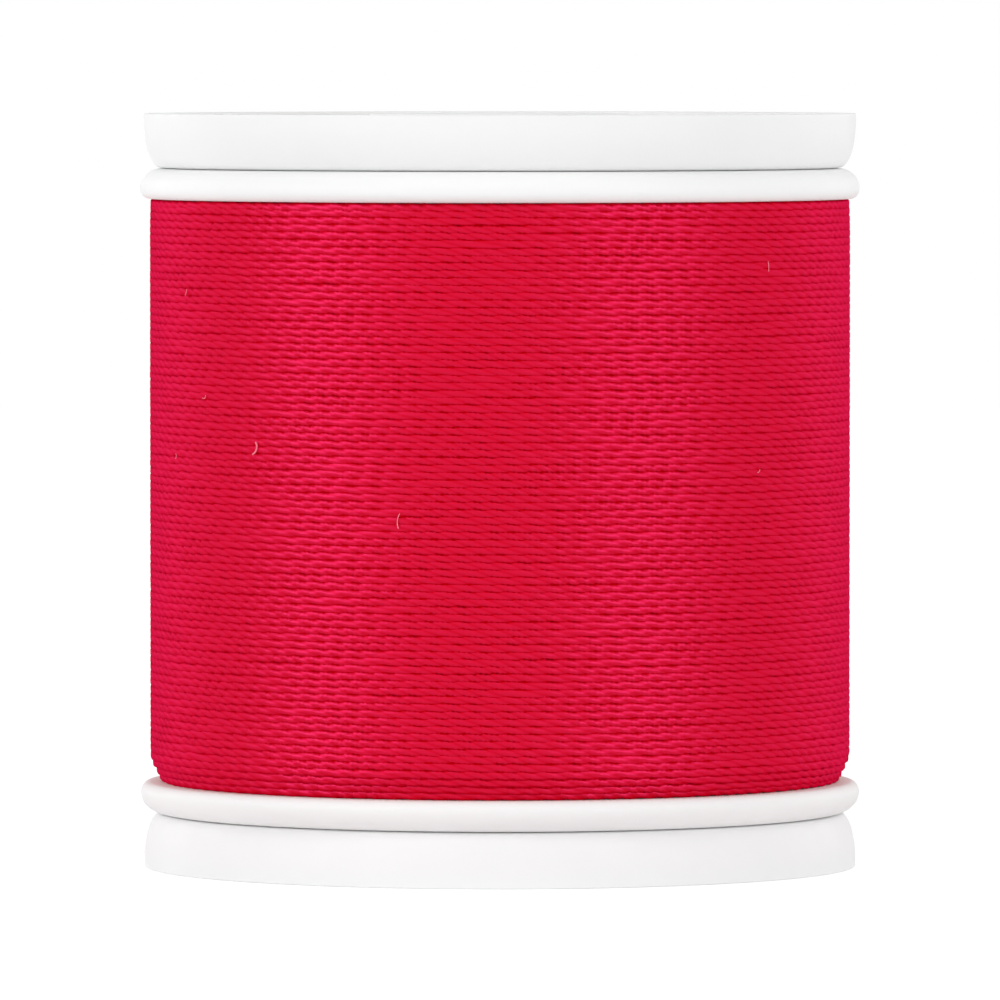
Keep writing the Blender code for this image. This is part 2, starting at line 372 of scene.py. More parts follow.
def slit_collar(cap):
    """Cuts the six slots that part the cap's collar into fingers."""
    inner = collar_inner_radius - CUT_MARGIN
    outer = barb_radius + CUT_MARGIN
    top = plate_under - SLOT_ROOT
    bottom = collar_end - CUT_MARGIN
    form = bmesh.new()
    for slot in range(SLOT_COUNT):
        box = bmesh.ops.create_cube(form, size=1)["verts"]
        bmesh.ops.scale(form, verts=box, vec=(outer - inner, SLOT_WIDTH, top - bottom))
        bmesh.ops.translate(form, verts=box, vec=((outer + inner) / 2, 0, (top + bottom) / 2))
        turn = Matrix.Rotation(tau * slot / SLOT_COUNT, 3, "Z")
        bmesh.ops.rotate(form, verts=box, cent=(0, 0, 0), matrix=turn)
    mesh = bpy.data.meshes.new("collar_slots")
    form.to_mesh(mesh)
    form.free()
    cutter = placed("collar_slots", mesh)
    boolean = cap.modifiers.new("Slots", "BOOLEAN")
    boolean.operation = "DIFFERENCE"
    boolean.solver = "EXACT"
    boolean.object = cutter
    apply_modifiers(cap)
    bpy.data.objects.remove(cutter)


cap_plastic = moulded_plastic("cap_plastic", CAP_PALE, CAP_DEEP, CAP_ROUGHNESS)
upper_cap = turned("upper_cap_moulding", cap_profile())
slit_collar(upper_cap)
lower_cap = placed("lower_cap_moulding", upper_cap.data.copy())
upper_cap_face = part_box("upper_snap_cap")[1].z
lower_cap_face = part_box("lower_snap_cap")[0].z
turned_over = Matrix.Rotation(pi, 4, "X")
upper_cap.data.transform(Matrix.Translation((0, 0, upper_cap_face)))
lower_cap.data.transform(Matrix.Translation((0, 0, lower_cap_face)) @ turned_over)
for end, cap in (("upper", upper_cap), ("lower", lower_cap)):
    shade(cap, cap_plastic)
    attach(cap, f"{end}_cap")
    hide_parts(f"{end}_snap_cap")


# --------------------------------------------------------------------------------------------------
# End labels
# A ring of uncoated paper, punched out and glued into the recess of each cap. It is bare but for two thin
# rings printed in the thread's colour.

LABEL_THICKNESS = 0.15 * MM
LABEL_EDGE_GAP = 0.3 * MM
LABEL_FILLET = 0.02 * MM
GLUE_FILM = 0.1 * MM
PRINT_INSET = 0.7 * MM
PRINT_WIDTH = 0.22 * MM
PRINT_EDGE = 0.02 * MM          # over which the ink fades out on each side

PAPER_PALE = (0.86, 0.85, 0.82, 1)
PAPER_DEEP = (0.8, 0.79, 0.755, 1)
PRINT_INK = (0.55, 0.01, 0.035, 1)
PAPER_ROUGHNESS = (0.75, 0.92)
PAPER_SPECULAR = 0.3
PULP_SCALE = 900
PULP_BUMP = 0.01 * MM
PAPER_FIBRE_SCALE = 2600
PAPER_FIBRE_STRETCH = (1, 5, 1)
PAPER_FIBRE_BUMP = 0.02 * MM

label_inner = boss_land_radius + LABEL_EDGE_GAP
label_outer = face_land_radius - LABEL_EDGE_GAP


def math_node(tree, operation, *values):
    """The result of a Math node."""
    return add_node(tree, "ShaderNodeMath", dict(enumerate(values)), operation=operation).outputs[0]


def vector_node(tree, operation, *vectors, **named):
    """The result of a Vector Math node: a number where the operation measures, and a vector elsewhere."""
    made = add_node(tree, "ShaderNodeVectorMath", {**dict(enumerate(vectors)), **named}, operation=operation)
    return made.outputs["Value" if operation in ("LENGTH", "DOT_PRODUCT") else "Vector"]


def stretched(tree, place, factors):
    """The place times a factor along each axis. A noise's grains are longer where the factor is small."""
    return add_node(tree, "ShaderNodeMapping", {"Vector": place, "Scale": factors}).outputs[0]


def printed_ring(tree, distance, radius):
    """1 on a printed ring at that radius, 0 off it."""
    away = math_node(tree, "ABSOLUTE", math_node(tree, "SUBTRACT", distance, radius))
    return ranged(tree, away, (PRINT_WIDTH / 2 - PRINT_EDGE, PRINT_WIDTH / 2), (1, 0))


def label_skin():
    """Uncoated white paper: mottled pulp, short fibres that lie mostly one way, and two printed rings."""
    skin, tree, shader, place = blank_skin("label_paper")
    pulp = noise(tree, place, PULP_SCALE, detail=5.0, roughness=0.65)
    web = stretched(tree, place, PAPER_FIBRE_STRETCH)
    fibres = noise(tree, web, PAPER_FIBRE_SCALE, detail=4.0, roughness=0.7)
    distance = vector_node(tree, "LENGTH", vector_node(tree, "MULTIPLY", place, (1, 1, 0)))
    inner_ring = printed_ring(tree, distance, label_inner + PRINT_INSET)
    outer_ring = printed_ring(tree, distance, label_outer - PRINT_INSET)
    ink = math_node(tree, "MAXIMUM", inner_ring, outer_ring)
    paper = blended(tree, spread(tree, pulp, 0, 1), PAPER_PALE, PAPER_DEEP)
    sockets = {
        "Base Color": blended(tree, ink, paper, PRINT_INK),
        "Roughness": spread(tree, fibres, *PAPER_ROUGHNESS),
        "Specular IOR Level": PAPER_SPECULAR,
        "Normal": bumped(tree, ((fibres, PAPER_FIBRE_BUMP), (pulp, PULP_BUMP))),
    }
    fill_inputs(tree, shader, sockets)
    return skin


def label_profile():
    """Outline of a label above its glued side."""
    corners = ((label_inner, 1), (label_outer, 1), (label_outer, 0), (label_inner, 0))
    return rounded([(radius, LABEL_THICKNESS * share, LABEL_FILLET) for radius, share in corners])


label_paper = label_skin()
glued_side = Matrix.Translation((0, 0, GLUE_FILM - LABEL_RECESS_DEPTH))
for end, face, turn in (("upper", upper_cap_face, Matrix()), ("lower", lower_cap_face, turned_over)):
    label = turned(f"{end}_label_paper", label_profile())
    label.data.transform(Matrix.Translation((0, 0, face)) @ turn @ glued_side)
    shade(label, label_paper)
    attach(label, f"{end}_cap")
    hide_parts(f"{end}_end_label")


# --------------------------------------------------------------------------------------------------
# Outer layer of thread
# Glossy dyed polyester thread of three plies twisted to the right. It is wound to the left by a machine's
# guide, so that each turn beds against the last and the turns next to a flange sink a little. The layer is
# made in four bands of twenty turns, which join end to end.

THREAD_TURNS = 80
BAND_COUNT = 4
POINTS_PER_TURN = 408
THREAD_SIDES = 12
PLY_COUNT = 3
THREAD_FULLNESS = 1.9           # the loose thread's diameter over the distance from turn to turn
PRESSED_WIDTH = 0.25 * MM       # how far tight winding lets a turn reach up or down from its middle
PRESSED_DEPTH = 0.17 * MM       # and how far in or out
PLY_GROOVE = 0.33               # depth of the groove between two plies, over the thread's radius
LAYS_PER_TURN = 34.15           # full twists of the thread in one turn round the spool
CORNER_HEIGHT = 1.15 * MM       # over which the winding sinks towards a flange
LOWER_DROP = 0.4 * MM           # how deep it sinks at the lower flange
UPPER_DROP = 0.03 * MM          # and at the upper one
TUCK_DEPTH = 0.5 * MM           # how deep each end of the layer dives under it
TUCK_TURNS = 0.06
WANDER = 0.11 * MM              # how far the guide lets a turn stray, from its lowest to its highest
WANDER_OUT = 0.18               # share of that which it strays in or out
WANDER_DETAIL = 2.0
WANDERS_PER_TURN = 17.3
SLUB = 0.25                     # change of thickness along the thread, over its radius
TWIST_WANDER = 8.0              # change of twist along the thread, in radians
TWIST_WANDER_SCALE = 0.6        # how often the twist changes for each time that the guide strays
NOISE_MIDDLE = (0.5, 0.5, 0.5)
RANDOM_SEED = 41.0

DYE_BRIGHT = (0.635, 0.0001, 0.007, 1)
DYE_DEEP = (0.595, 0.0, 0.003, 1)
# Colour of the painted shade in the grooves between plies and between turns
DYE_SHADOW = (0.55, 0.0, 0.001, 1)
DRIFT_SCALE = (160, 900, 900)   # slow changes of dye, to the metre along the thread, out and up
DRIFT_SHARE = 0.35              # and how far at most they take the dye to its deep colour
FILAMENT_SCALE = (400, 42000, 42000)
FILAMENT_BUMP = 0.003 * MM
PLY_GROOVE_END = 0.55           # where the painted shadow between plies ends, from 0 in the groove to 1 on the crest
PLY_GROOVE_SHADE = 0.65         # how far that painted shadow takes the dye to its shadow colour
TURN_GROOVE_START = 0.1 * MM    # up or down from the thread's middle to where the painted shade between turns starts
TURN_GROOVE_END = 0.135 * MM    # and to where that painted shade is darkest, against the next turn
TURN_GROOVE_SHADE = 0.7
THREAD_ROUGHNESS = 0.6
THREAD_SPECULAR = 0.0
THREAD_SHEEN = 1.0
THREAD_SHEEN_ROUGHNESS = 0.4
THREAD_SHEEN_TINT = (1, 0.005, 0.1, 1)
FIBRE_GLOSS = (1, 0.074, 0.33, 1)
# The gloss colour in the painted shade of the grooves, dimmer than on the crests
GROOVE_GLOSS = (0.8, 0.012, 0.12, 1)
GLOSS_ROUGHNESS = 0.32
GLOSS_STRETCH = -0.3            # below 0 the gloss is wider along the thread than across it
FIBRE_SHINE = 0.12              # how much of the light the fibres' gloss returns

band_turns = THREAD_TURNS // BAND_COUNT
winding_span = 2 * half_span
pitch = winding_span / THREAD_TURNS
thread_radius = pitch * THREAD_FULLNESS / 2
winding_bottom = middle - half_span
end_room = PRESSED_WIDTH * tanh(thread_radius / PRESSED_WIDTH)


def eased(tree, value, reach, start):
    """Falls smoothly from start, where the value is 0, to 0, where it is reach."""
    return ranged(tree, value, (0, reach), (start, 0), interpolation_type="SMOOTHSTEP")


def pressed(tree, reach, most):
    """A distance from the thread's middle, pressed in so that it never passes the most."""
    share = math_node(tree, "TANH", math_node(tree, "DIVIDE", reach, most))
    return math_node(tree, "MULTIPLY", share, most)


def height_of(tree, place):
    """The height of a place."""
    return add_node(tree, "ShaderNodeSeparateXYZ", {0: place}).outputs["Z"]


def straight_up(tree, height):
    """A shift up by a height."""
    return add_node(tree, "ShaderNodeCombineXYZ", {"Z": height}).outputs[0]


def stored(tree, geometry, name, value, data_type):
    """The geometry with a named value kept on its points."""
    sockets = {"Geometry": geometry, "Name": name, "Value": value}
    made = add_node(tree, "GeometryNodeStoreNamedAttribute", sockets, data_type=data_type, domain="POINT")
    return made.outputs[0]


def recalled(tree, name, data_type):
    """The value kept under that name."""
    kept = add_node(tree, "GeometryNodeInputNamedAttribute", {"Name": name}, data_type=data_type)
    return kept.outputs["Attribute"]


def ply_section(tree, size):
    """The thread's section: a ring with one swell for each ply and a groove between plies."""
    sockets = {"Resolution": size["Sides"], "Radius": 1.0}
    ring = add_node(tree, "GeometryNodeCurvePrimitiveCircle", sockets).outputs["Curve"]
    index = add_node(tree, "GeometryNodeInputIndex").outputs[0]
    round_share = math_node(tree, "DIVIDE", index, size["Sides"])
    angle = math_node(tree, "MULTIPLY", round_share, tau * PLY_COUNT / 2)
    crest = math_node(tree, "ABSOLUTE", math_node(tree, "COSINE", angle))
    groove = math_node(tree, "MULTIPLY", math_node(tree, "SUBTRACT", 1.0, crest), size["Ply Groove"])
    reach = math_node(tree, "MULTIPLY", math_node(tree, "SUBTRACT", 1.0, groove), size["Thread Radius"])
    place = add_node(tree, "GeometryNodeInputPosition").outputs[0]
    drawn = vector_node(tree, "SCALE", place, Scale=reach)
    section = add_node(tree, "GeometryNodeSetPosition", {0: ring, "Position": drawn}).outputs[0]
    return stored(tree, section, "crest", crest, "FLOAT")


def winding_tree():
    """Nodes that wind one band of thread on the Z axis, from its lowest turn up."""
    tree = bpy.data.node_groups.new("thread_winding", "GeometryNodeTree")
    for name, kind in (
        ("Coil Radius", "Float"),
        ("Bottom", "Float"),
        ("Lowest", "Float"),
        ("Highest", "Float"),
        ("Pitch", "Float"),
        ("Turns", "Int"),
        ("Turns Before", "Int"),
        ("Turns In All", "Int"),
        ("Points Per Turn", "Int"),
        ("Sides", "Int"),
        ("Thread Radius", "Float"),
        ("Pressed Width", "Float"),
        ("Pressed Depth", "Float"),
        ("Ply Groove", "Float"),
        ("Lays Per Turn", "Float"),
        ("Wander", "Float"),
        ("Corner Height", "Float"),
        ("Lower Drop", "Float"),
        ("Upper Drop", "Float"),
        ("Tuck Turns", "Float"),
        ("Tuck Depth", "Float"),
        ("Seed", "Float"),
        ("Skin", "Material"),
    ):
        tree.interface.new_socket(name=name, in_out="INPUT", socket_type=f"NodeSocket{kind}")
    tree.interface.new_socket(name="Thread", in_out="OUTPUT", socket_type="NodeSocketGeometry")
    size = add_node(tree, "NodeGroupInput").outputs

    # A plain coil, with its ends at the back of the spool
    sockets = {
        "Resolution": size["Points Per Turn"],
        "Rotations": size["Turns"],
        "Start Radius": size["Coil Radius"],
        "End Radius": size["Coil Radius"],
        "Height": math_node(tree, "MULTIPLY", size["Turns"], size["Pitch"]),
    }
    spiral = add_node(tree, "GeometryNodeCurveSpiral", sockets).outputs["Curve"]
    lift = math_node(tree, "MULTIPLY_ADD", size["Turns Before"], size["Pitch"], size["Bottom"])
    sockets = {"Geometry": spiral, "Translation": straight_up(tree, lift), "Rotation": (0, 0, pi / 2)}
    coil = add_node(tree, "GeometryNodeTransform", sockets).outputs[0]

    # How many turns of thread lie before each point, and how many the point is from the nearer end
    index = add_node(tree, "GeometryNodeInputIndex").outputs[0]
    turns_done = math_node(tree, "DIVIDE", index, size["Points Per Turn"])
    turn = math_node(tree, "ADD", turns_done, size["Turns Before"])
    turns_left = math_node(tree, "SUBTRACT", size["Turns In All"], turn)
    to_end = math_node(tree, "MINIMUM", turn, turns_left)

    # What strays along the thread: its distance from the axis, its height, its thickness and its twist
    wandering = math_node(tree, "MULTIPLY_ADD", turn, WANDERS_PER_TURN, size["Seed"])
    sockets = {"W": wandering, "Scale": 1.0, "Detail": WANDER_DETAIL}
    stray = add_node(tree, "ShaderNodeTexNoise", sockets, noise_dimensions="1D").outputs["Color"]
    centered = vector_node(tree, "SUBTRACT", stray, NOISE_MIDDLE)
    stray_out, stray_up, stray_thick = add_node(tree, "ShaderNodeSeparateXYZ", {0: centered}).outputs
    sockets["Scale"] = TWIST_WANDER_SCALE
    slow = add_node(tree, "ShaderNodeTexNoise", sockets, noise_dimensions="1D").outputs["Fac"]

    # Each point moves in or out, up or down, and the last turns lie flat against the flanges
    from_bottom = math_node(tree, "MULTIPLY", turn, size["Pitch"])
    from_top = math_node(tree, "MULTIPLY", turns_left, size["Pitch"])
    low_sunk = eased(tree, from_bottom, size["Corner Height"], size["Lower Drop"])
    high_sunk = eased(tree, from_top, size["Corner Height"], size["Upper Drop"])
    sunk = math_node(tree, "ADD", low_sunk, high_sunk)
    tucked = eased(tree, to_end, size["Tuck Turns"], size["Tuck Depth"])
    most_out = math_node(tree, "MULTIPLY", size["Wander"], WANDER_OUT)
    out = math_node(tree, "MULTIPLY", stray_out, most_out)
    out = math_node(tree, "SUBTRACT", math_node(tree, "SUBTRACT", out, sunk), tucked)
    place = add_node(tree, "GeometryNodeInputPosition").outputs[0]
    level = height_of(tree, place)
    strayed = math_node(tree, "MULTIPLY_ADD", stray_up, size["Wander"], level)
    kept = math_node(tree, "MAXIMUM", strayed, size["Lowest"])
    kept = math_node(tree, "MINIMUM", kept, size["Highest"])
    outwards = vector_node(tree, "NORMALIZE", vector_node(tree, "MULTIPLY", place, (1, 1, 0)))
    rise = straight_up(tree, math_node(tree, "SUBTRACT", kept, level))
    shift = vector_node(tree, "ADD", vector_node(tree, "SCALE", outwards, Scale=out), rise)
    coil = add_node(tree, "GeometryNodeSetPosition", {0: coil, "Offset": shift}).outputs[0]

    # Twist and thickness, then the section drawn along the coil
    twist = math_node(tree, "MULTIPLY", turn, math_node(tree, "MULTIPLY", size["Lays Per Turn"], tau))
    twist = math_node(tree, "MULTIPLY_ADD", slow, TWIST_WANDER, twist)
    thick = math_node(tree, "MULTIPLY_ADD", stray_thick, SLUB, 1.0)
    coil = add_node(tree, "GeometryNodeSetCurveNormal", {0: coil}, mode="Z_UP").outputs[0]
    coil = add_node(tree, "GeometryNodeSetCurveTilt", {0: coil, "Tilt": twist}).outputs[0]
    coil = add_node(tree, "GeometryNodeSetCurveRadius", {0: coil, "Radius": thick}).outputs[0]
    coil = stored(tree, coil, "centre", place, "FLOAT_VECTOR")
    coil = stored(tree, coil, "turn", turn, "FLOAT")
    sockets = {"Curve": coil, "Profile Curve": ply_section(tree, size), "Fill Caps": True}
    thread = add_node(tree, "GeometryNodeCurveToMesh", sockets).outputs[0]

    # The section pressed flat by its neighbours, about its middle line
    middle_line = recalled(tree, "centre", "FLOAT_VECTOR")
    off = vector_node(tree, "SUBTRACT", place, middle_line)
    outside = vector_node(tree, "DOT_PRODUCT", off, outwards)
    above = height_of(tree, off)
    drawn_out = vector_node(tree, "SCALE", outwards, Scale=pressed(tree, outside, size["Pressed Depth"]))
    drawn_up = straight_up(tree, pressed(tree, above, size["Pressed Width"]))
    drawn = vector_node(tree, "ADD", middle_line, vector_node(tree, "ADD", drawn_out, drawn_up))
    thread = add_node(tree, "GeometryNodeSetPosition", {0: thread, "Position": drawn}).outputs[0]

    # Fibre coordinates: the length along the thread, and the way out and up from its middle
    girth = math_node(tree, "MULTIPLY", size["Coil Radius"], tau)
    along = math_node(tree, "MULTIPLY", recalled(tree, "turn", "FLOAT"), girth)
    fibre = add_node(tree, "ShaderNodeCombineXYZ", {"X": along, "Y": outside, "Z": above}).outputs[0]
    thread = stored(tree, thread, "fibre", fibre, "FLOAT_VECTOR")
    for spent in ("centre", "turn"):
        thread = add_node(tree, "GeometryNodeRemoveAttribute", {0: thread, "Name": spent}).outputs[0]
    thread = add_node(tree, "GeometryNodeSetShadeSmooth", {0: thread, "Shade Smooth": True}).outputs[0]
    thread = add_node(tree, "GeometryNodeRealizeInstances", {0: thread}).outputs[0]
    thread = add_node(tree, "GeometryNodeSetMaterial", {0: thread, "Material": size["Skin"]}).outputs[0]
    add_node(tree, "NodeGroupOutput", {0: thread})
    return tree


def wound(name, tree, sizes):
    """A piece made by the winding nodes with these sizes, as a plain mesh."""
    piece = placed(name, bpy.data.meshes.new(name))
    modifier = piece.modifiers.new("Winding", "NODES")
    modifier.node_group = tree
    for socket in tree.interface.items_tree:
        if socket.in_out == "INPUT":
            modifier[socket.identifier] = sizes[socket.name]
    apply_modifiers(piece)
    return piece


def thread_skin(name, bright, deep, shadow):
    """Dyed polyester filaments: streaks along the fibres, slow changes of dye, and painted shade in the
    grooves.
    """
    skin, tree, shader, place = blank_skin(name)
    fibre = add_node(tree, "ShaderNodeAttribute", attribute_name="fibre").outputs["Vector"]
    crest = add_node(tree, "ShaderNodeAttribute", attribute_name="crest").outputs["Fac"]
    streaks = noise(tree, stretched(tree, fibre, FILAMENT_SCALE), 1.0, roughness=0.6)
    drift = noise(tree, stretched(tree, fibre, DRIFT_SCALE), 1.0)
    colour = blended(tree, spread(tree, streaks, 0, 1), deep, bright)
    colour = blended(tree, spread(tree, drift, 0, DRIFT_SHARE), colour, deep)
    # Painted shade: the dye darkens towards its shadow colour in the grooves between plies and between turns
    ply_groove_painted_shade = ranged(tree, crest, (0, PLY_GROOVE_END), (PLY_GROOVE_SHADE, 0))
    off_middle = math_node(tree, "ABSOLUTE", height_of(tree, fibre))
    turn_groove_painted_shade = ranged(tree, off_middle, (TURN_GROOVE_START, TURN_GROOVE_END), (0, TURN_GROOVE_SHADE))
    shaded = math_node(tree, "ADD", ply_groove_painted_shade, turn_groove_painted_shade)
    normal = bumped(tree, ((streaks, FILAMENT_BUMP),))
    sockets = {
        "Base Color": blended(tree, shaded, colour, shadow),
        "Roughness": THREAD_ROUGHNESS,
        "Specular IOR Level": THREAD_SPECULAR,
        "Sheen Weight": THREAD_SHEEN,
        "Sheen Roughness": THREAD_SHEEN_ROUGHNESS,
        "Sheen Tint": THREAD_SHEEN_TINT,
        "Normal": normal,
    }
    fill_inputs(tree, shader, sockets)

    # The twisted fibres shine, a little more widely along the thread than across it, with their gloss dimmed
    # as painted shade in the grooves
    sockets = {
        "Color": blended(tree, shaded, FIBRE_GLOSS, GROOVE_GLOSS),
        "Roughness": GLOSS_ROUGHNESS,
        "Anisotropy": GLOSS_STRETCH,
        "Normal": normal,
        "Tangent": vector_node(tree, "NORMALIZE", vector_node(tree, "CROSS_PRODUCT", (0, 0, 1), place)),
    }
    gloss = add_node(tree, "ShaderNodeBsdfAnisotropic", sockets).outputs[0]
    sockets = {0: FIBRE_SHINE, 1: shader.outputs[0], 2: gloss}
    mixed = add_node(tree, "ShaderNodeMixShader", sockets).outputs[0]
    fill_inputs(tree, tree.nodes["Material Output"], {"Surface": mixed})
    return skin


winding_nodes = winding_tree()
outer_sizes = {
    "Coil Radius": winding_radius - PRESSED_DEPTH * tanh(thread_radius / PRESSED_DEPTH),
    "Bottom": winding_bottom,
    "Lowest": winding_bottom + end_room,
    "Highest": winding_bottom + winding_span - end_room,
    "Pitch": pitch,
    "Turns": band_turns,
    "Turns In All": THREAD_TURNS,
    "Points Per Turn": POINTS_PER_TURN,
    "Sides": THREAD_SIDES,
    "Thread Radius": thread_radius,
    "Pressed Width": PRESSED_WIDTH,
    "Pressed Depth": PRESSED_DEPTH,
    "Ply Groove": PLY_GROOVE,
    "Lays Per Turn": LAYS_PER_TURN,
    "Wander": WANDER,
    "Corner Height": CORNER_HEIGHT,
    "Lower Drop": LOWER_DROP,
    "Upper Drop": UPPER_DROP,
    "Tuck Turns": TUCK_TURNS,
    "Tuck Depth": TUCK_DEPTH,
    "Seed": RANDOM_SEED,
    "Skin": thread_skin("thread_dye", DYE_BRIGHT, DYE_DEEP, DYE_SHADOW),
}
for band in range(BAND_COUNT):
    band_sizes = {**outer_sizes, "Turns Before": band * band_turns}
    winding = wound(f"thread_winding_{band + 1}", winding_nodes, band_sizes)
    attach(winding, "spool")
    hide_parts("thread_outer_layer")


# --------------------------------------------------------------------------------------------------
# Inner layers of thread
# The same thread, wound back and forth below the outer layer until the barrel is full, its dye painted
# lighter than the outer layer's so that the shade in the gaps between outer turns looks lighter. Only the
# next layer down shows, between the turns of the outer one, so it is wound and the rest is one turned core.

LAYER_DEPTH = 0.16 * MM         # from one layer's middle to the next one's
INNER_POINTS_PER_TURN = 96
INNER_SIDES = 6
CORE_DEPTH = 0.55 * MM          # how far below the thread's surface the core ends
CORE_CLEARANCE = 0.05 * MM

# Painted light: the inner layers' dye colours, lighter than the outer layer's, to lighten the shade between
# the outer turns
INNER_DYE_BRIGHT = (0.78, 0.0, 0.014, 1)
INNER_DYE_DEEP = (0.74, 0.0, 0.012, 1)
INNER_DYE_SHADOW = (0.72, 0.0, 0.01, 1)

lightened_inner_dye = thread_skin("inner_thread_lightened_dye", INNER_DYE_BRIGHT, INNER_DYE_DEEP, INNER_DYE_SHADOW)
inner_sizes = {
    **outer_sizes,
    "Coil Radius": outer_sizes["Coil Radius"] - LAYER_DEPTH,
    "Bottom": winding_bottom + pitch / 2,
    "Turns": THREAD_TURNS - 1,
    "Turns Before": 0,
    "Turns In All": THREAD_TURNS - 1,
    "Points Per Turn": INNER_POINTS_PER_TURN,
    "Sides": INNER_SIDES,
    "Ply Groove": 0.0,
    "Lays Per Turn": 0.0,
    "Tuck Depth": 0.0,
    "Skin": lightened_inner_dye,
}
inner_winding = wound("inner_winding", winding_nodes, inner_sizes)
core_half = half_span - CORE_CLEARANCE
core_outline = [(barrel_radius + BARREL_FILLET, core_half), (winding_radius - CORE_DEPTH, core_half)]
core_outline += [(radius, -height) for radius, height in reversed(core_outline)]
inner_core = turned("inner_thread_core", core_outline)
inner_core.data.transform(Matrix.Translation((0, 0, middle)))
shade(inner_core, lightened_inner_dye)
for layer in (inner_winding, inner_core):
    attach(layer, "spool")
    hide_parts("thread_inner_layers")


# --------------------------------------------------------------------------------------------------
# Lint
# A few loose ends of pale fibre, some tenths of a millimetre long, that have settled on the thread. Each
# is a fine tube that lies on the winding in a slight curve, with its ends lifted.

LINT_RADIUS = 0.026 * MM
LINT_STEPS = 8
LINT_TIP_LIFT = 0.12            # how far the ends stand off, over the fibre's length
# Degrees round from the front, height and length in mm, lean and curl in degrees, and share of the radius
LINT = (
    (-43.5, 16.4, 0.55, 75, 35, 1.2),
    (-16.3, 13.7, 0.6, 80, -35, 0.7),
    (48.5, 23.4, 0.4, 100, 40, 0.6),
    (46, 15.7, 0.2, 50, 60, 0.6),
    (-62, 22.4, 0.3, 60, -40, 0.5),
    (-56.5, 18.5, 0.28, 30, 50, 0.6),
    (-66, 16.1, 0.2, 80, 20, 0.6),
)

LINT_BLUSH = (0.95, 0.19, 0.28, 1)
LINT_PALE = (0.92, 0.28, 0.37, 1)
LINT_ROUGHNESS = (0.5, 0.7)
LINT_SPECULAR = 0.2


def lint_skin():
    """A pink fibre, mottled between two pinks."""
    skin, tree, shader, place = blank_skin("lint_fibre")
    mottle = noise(tree, place, GRAIN_SCALE)
    sockets = {
        "Base Color": blended(tree, spread(tree, mottle, 0, 1), LINT_BLUSH, LINT_PALE),
        "Roughness": spread(tree, mottle, *LINT_ROUGHNESS),
        "Specular IOR Level": LINT_SPECULAR,
    }
    fill_inputs(tree, shader, sockets)
    return skin


def lint_fibres(skin):
    """The fibres as one mesh of tubes, each drawn from point to point along its curve."""
    curve = bpy.data.curves.new("lint", "CURVE")
    curve.dimensions = "3D"
    curve.bevel_depth = LINT_RADIUS
    curve.bevel_resolution = 1
    curve.use_fill_caps = True
    for angle, height, length, lean, curl, thickness in LINT:
        spline = curve.splines.new("POLY")
        spline.points.add(LINT_STEPS)
        across, up = 0.0, 0.0
        for step, point in enumerate(spline.points):
            share = step / LINT_STEPS
            heading = radians(lean + curl * (share - 0.5) * 2)
            lift = winding_radius + LINT_RADIUS + length * MM * LINT_TIP_LIFT * (2 * share - 1) ** 2
            around = radians(angle) + across / winding_radius
            point.co = (lift * sin(around), -lift * cos(around), height * MM + up, 1)
            point.radius = thickness
            across += cos(heading) * length * MM / LINT_STEPS
            up += sin(heading) * length * MM / LINT_STEPS
    drawn = placed("lint_on_thread", curve)
    mesh = evaluated_mesh(drawn)
    bpy.data.objects.remove(drawn)
    mesh.shade_smooth()
    mesh.materials.clear()
    mesh.materials.append(skin)
    return placed("lint_on_thread", mesh)


lint = lint_fibres(lint_skin())
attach(lint, "spool")


# --------------------------------------------------------------------------------------------------
# Floor, light and camera
# A white table in a white room. Two soft boxes stand in front of the spool, two weaker ones behind its
# sides and one over it, and a long lens looks from a little above its middle.

FLOOR_RADIUS = 0.6
FLOOR_SEGMENTS = 64
FLOOR_PAPER = (0.88, 0.88, 0.88, 1)
FLOOR_VEIL = (0.25, 0.25, 0.25, 1)  # how much of the light on the floor shows, over its own glow
SHADOW_GLOW = 0.86              # its glow at the spool, dimmed there as a painted shadow, where 1 is white
SHADOW_REACH = (0.03, 0.09)     # from where the painted shadow's glow rises, and where it is plain white
WORLD_FILL = 0.4
# Degrees round from the front and up, metres away and across, and glow, where 1 looks white
SOFT_BOXES = {
    "left_box": {"turn": -60, "rise": 16, "away": 0.34, "width": 0.2, "tall": 0.2, "glow": 3.9},
    "right_box": {"turn": 46, "rise": 16, "away": 0.36, "width": 0.22, "tall": 0.22, "glow": 3.35},
    "left_edge_box": {"turn": -130, "rise": 10, "away": 0.4, "width": 0.2, "tall": 0.3, "glow": 1.4},
    "right_edge_box": {"turn": 130, "rise": 10, "away": 0.4, "width": 0.2, "tall": 0.3, "glow": 1.35},
    "top_box": {"turn": 0, "rise": 72, "away": 0.4, "width": 0.4, "tall": 0.3, "glow": 0.7},
}
CAMERA_AWAY = 0.48
CAMERA_RISE = 17.5 * MM         # above the spool's middle
CAMERA_AIM = -0.41 * MM         # where it looks, from the spool's middle
FRAME_WIDTH = 39.05 * MM        # what the picture takes in across the spool's axis
SENSOR_WIDTH = 36


def seen_directly(tree):
    """1 for a ray from the camera, a mirror or a lens, and 0 for light on its way to a surface."""
    path = add_node(tree, "ShaderNodeLightPath").outputs
    direct = math_node(tree, "MAXIMUM", path["Is Camera Ray"], path["Is Glossy Ray"])
    return math_node(tree, "MAXIMUM", direct, path["Is Transmission Ray"])


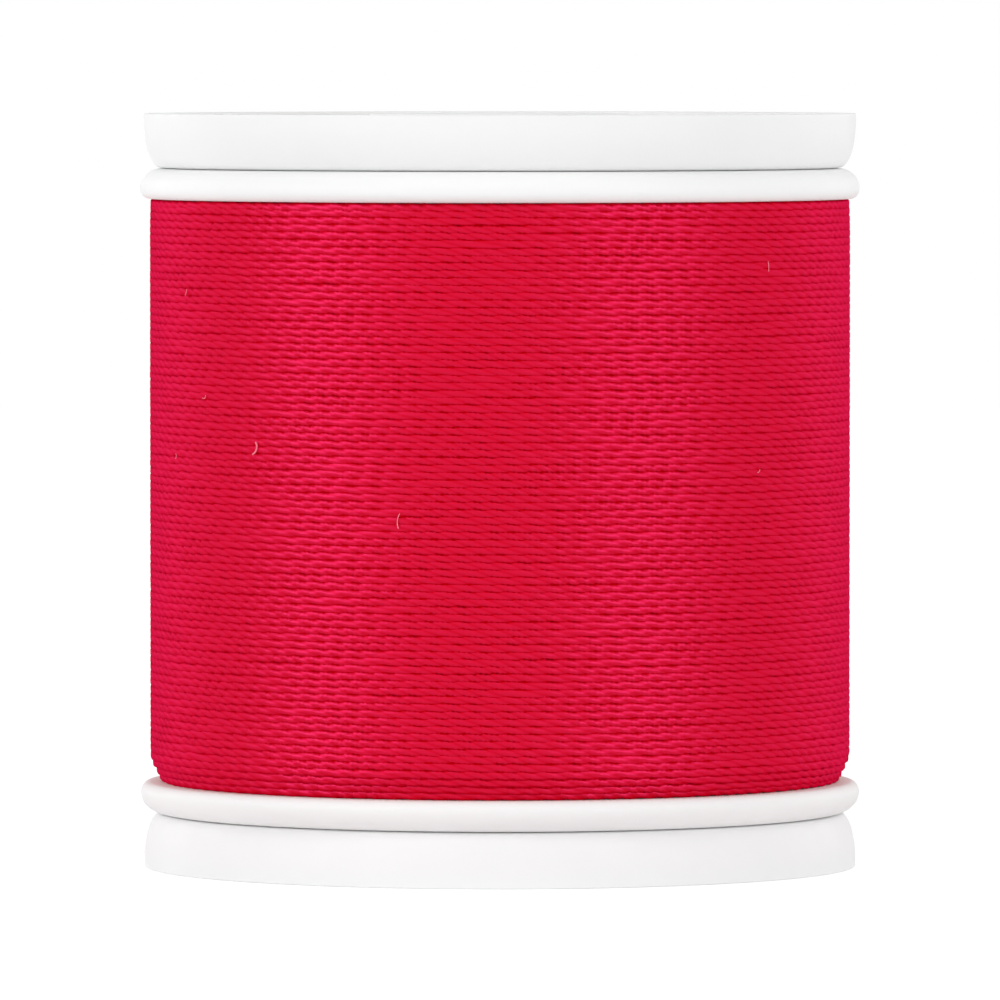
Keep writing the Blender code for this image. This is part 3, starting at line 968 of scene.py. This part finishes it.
def white_floor():
    """A disc that bounces light as pale paper does and shows as white, with the spool's cast shadow on it
    and a painted shadow round it.
    """
    form = bmesh.new()
    bmesh.ops.create_circle(form, cap_ends=True, radius=FLOOR_RADIUS, segments=FLOOR_SEGMENTS)
    mesh = bpy.data.meshes.new("floor")
    form.to_mesh(mesh)
    form.free()
    skin, tree, shader, place = blank_skin("floor_paper")
    tree.nodes.remove(shader)
    # Painted shadow: the floor's glow is dimmed near the spool
    glow = ranged(tree, vector_node(tree, "LENGTH", place), SHADOW_REACH, (SHADOW_GLOW, 1))
    paper = add_node(tree, "ShaderNodeBsdfDiffuse", {"Color": FLOOR_PAPER}).outputs[0]
    veil = add_node(tree, "ShaderNodeBsdfDiffuse", {"Color": FLOOR_VEIL}).outputs[0]
    white = add_node(tree, "ShaderNodeEmission", {"Color": (1, 1, 1, 1), "Strength": glow}).outputs[0]
    shown = add_node(tree, "ShaderNodeAddShader", {0: veil, 1: white}).outputs[0]
    mixed = add_node(tree, "ShaderNodeMixShader", {0: seen_directly(tree), 1: paper, 2: shown}).outputs[0]
    fill_inputs(tree, tree.nodes["Material Output"], {"Surface": mixed})
    mesh.materials.append(skin)
    placed("floor", mesh)


def white_room():
    """A world that fills in softly and shows as white."""
    world = bpy.data.worlds.new("white_room")
    world.use_nodes = True
    tree = world.node_tree
    strength = ranged(tree, seen_directly(tree), (0, 1), (WORLD_FILL, 1))
    fill_inputs(tree, tree.nodes["Background"], {"Color": (1, 1, 1, 1), "Strength": strength})
    bpy.context.scene.world = world


def soft_box(name, turn, rise, away, width, tall, glow):
    """A lamp that faces the spool's middle, turned from the front and raised by degrees."""
    lamp = bpy.data.lights.new(name, "AREA")
    lamp.shape = "RECTANGLE"
    lamp.size = width
    lamp.size_y = tall
    lamp.energy = glow * pi * width * tall
    box = placed(name, lamp)
    side, up = radians(turn), radians(rise)
    level = away * cos(up)
    box.location = (level * sin(side), -level * cos(side), middle + away * sin(up))
    box.rotation_euler = (pi / 2 - up, 0, side)


def long_lens():
    """The camera, in front of the spool and a little above its middle."""
    data = bpy.data.cameras.new("camera")
    data.sensor_width = SENSOR_WIDTH
    data.lens = SENSOR_WIDTH * CAMERA_AWAY / FRAME_WIDTH
    camera = placed("camera", data)
    camera.location = (0, -CAMERA_AWAY, middle + CAMERA_RISE)
    target = Vector((0, 0, middle + CAMERA_AIM))
    camera.rotation_euler = (target - camera.location).to_track_quat("-Z", "Y").to_euler()
    bpy.context.scene.camera = camera


white_floor()
white_room()
for name, sizes in SOFT_BOXES.items():
    soft_box(name, **sizes)
long_lens()
bpy.context.scene.view_settings.view_transform = "Standard"
